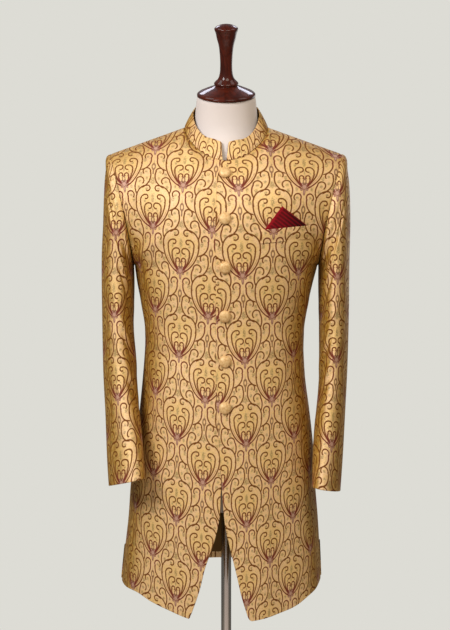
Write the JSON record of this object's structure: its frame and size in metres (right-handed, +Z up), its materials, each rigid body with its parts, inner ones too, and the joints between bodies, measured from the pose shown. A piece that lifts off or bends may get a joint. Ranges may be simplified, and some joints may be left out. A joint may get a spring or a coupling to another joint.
{
  "type": "sherwani coat on a dress form",
  "caption": "Thigh-length stand-collar sherwani coat in brocade with domed buttons and a pocket square, worn by a limbless dress form on a pole and a round base.",
  "frame": {"origin": "on the floor, at the centre of the base's underside, under the pole", "axes": "+Z up the pole, the coat's front faces -Y, +X is the wearer's left"},
  "size_m": [0.4781, 0.3419, 1.6566],
  "materials": {
    "gold_brocade": "woven brocade with a soft sheen, brown and maroon scrolls on peach gold",
    "red_cloth": "ribbed matt cloth",
    "button_gold": "satin champagne gold dome",
    "form_cover": "plain off-white jersey, matt",
    "dark_wood": "turned and lacquered, glossy",
    "polished_steel": "polished"
  },
  "bodies": {
    "root": {"front_wearers_right": "gold_brocade", "front_wearers_left": "gold_brocade", "back": "gold_brocade", "sleeve_wearers_right": "gold_brocade", "sleeve_wearers_left": "gold_brocade", "collar": "gold_brocade", "pocket_welt": "gold_brocade", "pocket_square": "red_cloth", "button_1": "button_gold", "button_2": "button_gold", "button_3": "button_gold", "button_4": "button_gold", "button_5": "button_gold", "button_6": "button_gold", "dress_form": "form_cover", "neck_cap": "dark_wood", "pole": "polished_steel", "base": "polished_steel"}
  },
  "joints": []
}
